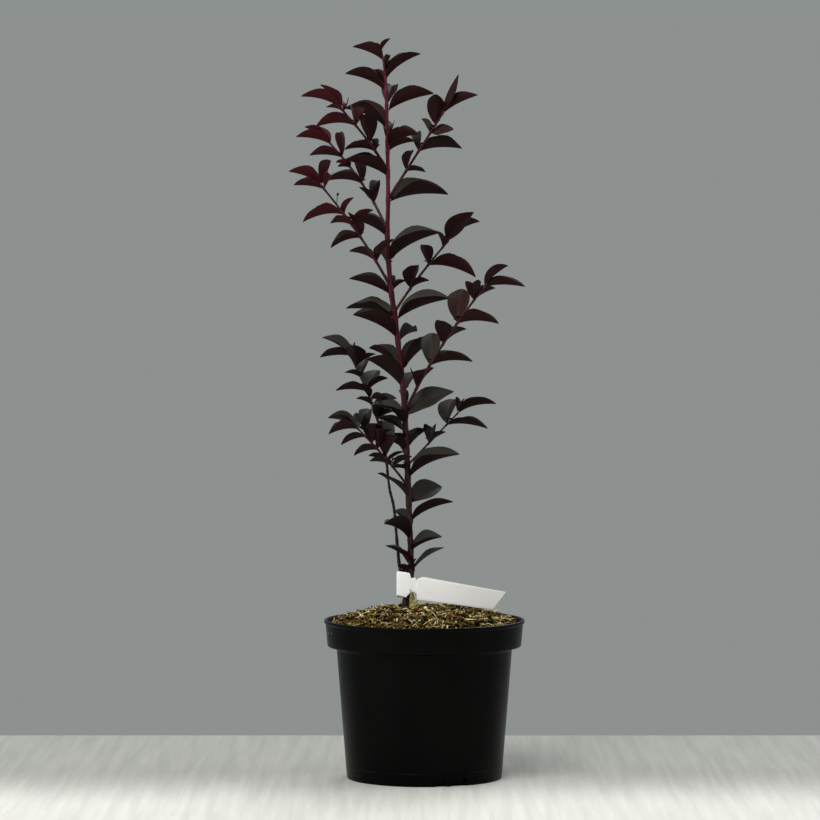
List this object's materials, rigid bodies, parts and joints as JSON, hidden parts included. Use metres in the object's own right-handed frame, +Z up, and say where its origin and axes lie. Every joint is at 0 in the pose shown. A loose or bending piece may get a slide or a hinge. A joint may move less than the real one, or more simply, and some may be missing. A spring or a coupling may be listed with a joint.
{
  "type": "potted crape myrtle",
  "caption": "Young single-trunk crape myrtle with dark purple leaves in a round black nursery pot filled with compost, with a blank white plant tag round the stem.",
  "frame": {"origin": "centre of the pot's flat underside", "axes": "+Z up the plant, -Y towards the viewer of the picture, +X to the viewer's right"},
  "size_m": [0.2511, 0.215, 0.7916],
  "materials": {
    "pot": "satin",
    "compost": "rough",
    "bark": "rough",
    "young_bark": "satin",
    "leaf": "satin",
    "tag": "satin"
  },
  "bodies": {
    "root": {"bough_left_high": "young_bark", "bough_left_low": "young_bark", "bough_left_middle": "young_bark", "bough_left_top": "young_bark", "bough_right_high": "young_bark", "bough_right_low": "young_bark", "bough_right_middle": "young_bark", "bough_right_top": "young_bark", "compost": "compost", "leaves_left_high": "leaf", "leaves_left_low": "leaf", "leaves_left_middle": "leaf", "leaves_left_top": "leaf", "leaves_right_high": "leaf", "leaves_right_low": "leaf", "leaves_right_middle": "leaf", "leaves_right_top": "leaf", "leaves_second_stem": "leaf", "leaves_tip": "leaf", "plant_tag": "tag", "pot": "pot", "second_stem": "young_bark", "trunk": "bark", "trunk_leaf_01": "leaf", "trunk_leaf_02": "leaf", "trunk_leaf_03": "leaf", "trunk_leaf_04": "leaf", "trunk_leaf_05": "leaf", "trunk_leaf_06": "leaf", "trunk_leaf_07": "leaf", "trunk_leaf_08": "leaf", "trunk_leaf_09": "leaf", "trunk_leaf_10": "leaf", "trunk_leaf_11": "leaf", "trunk_leaf_12": "leaf", "trunk_leaf_13": "leaf", "trunk_leaf_14": "leaf", "trunk_leaf_15": "leaf", "trunk_leaf_16": "leaf", "trunk_leaf_17": "leaf", "trunk_leaf_18": "leaf", "trunk_leaf_19": "leaf", "trunk_leaf_20": "leaf", "trunk_leaf_21": "leaf", "trunk_leaf_22": "leaf", "trunk_leaf_23": "leaf", "trunk_leaf_24": "leaf", "trunk_leaf_25": "leaf", "trunk_leaf_26": "leaf", "trunk_leaf_27": "leaf", "trunk_leaf_28": "leaf", "trunk_leaf_29": "leaf", "trunk_leaf_30": "leaf", "trunk_leaf_31": "leaf", "trunk_leaf_32": "leaf", "trunk_leaf_33": "leaf", "trunk_leaf_34": "leaf", "trunk_leaf_35": "leaf", "trunk_leaf_36": "leaf", "trunk_leaf_37": "leaf"}
  },
  "joints": []
}
